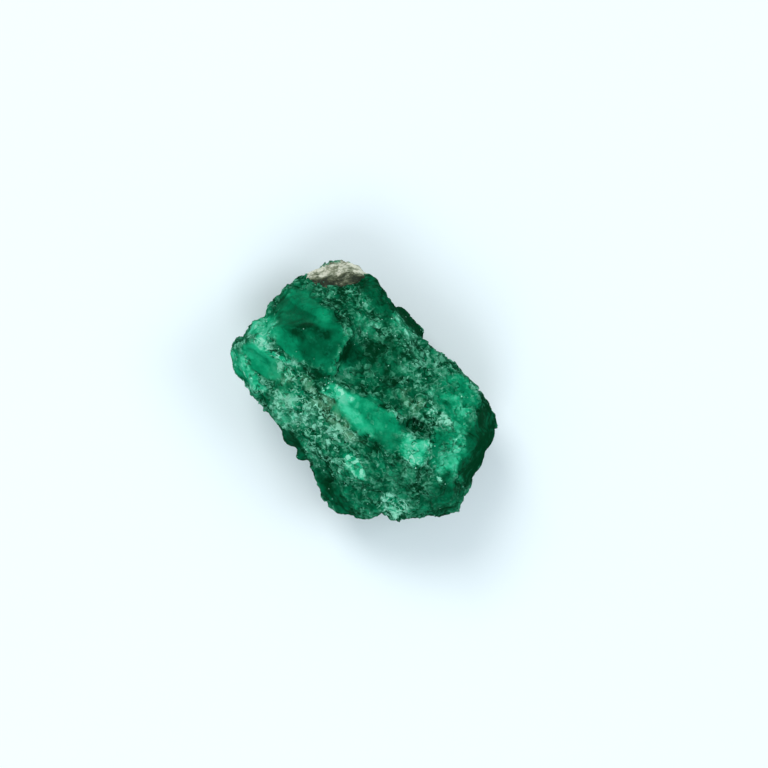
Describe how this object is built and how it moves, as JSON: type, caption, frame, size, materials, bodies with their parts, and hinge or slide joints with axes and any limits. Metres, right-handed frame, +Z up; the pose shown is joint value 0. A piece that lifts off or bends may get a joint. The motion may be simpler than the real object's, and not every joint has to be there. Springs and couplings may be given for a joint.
{
  "type": "raw emerald crystal",
  "caption": "Rough green beryl crystal: a stubby hexagonal prism broken at both ends, chipped all over, with a remnant of host rock on one corner. Lies flat.",
  "frame": {"origin": "middle of the bounding box, on the resting face", "axes": "+X along the prism from the blunt end to the tip, +Z up out of the resting face, +Y across the prism"},
  "size_m": [0.017, 0.0116, 0.0088],
  "materials": {
    "emerald": "vitreous where it broke smooth, frosted and dusty on the crumbled faces",
    "host_rock": "matte"
  },
  "bodies": {
    "root": {"emerald_crystal": "emerald", "host_rock": "host_rock"}
  },
  "joints": []
}
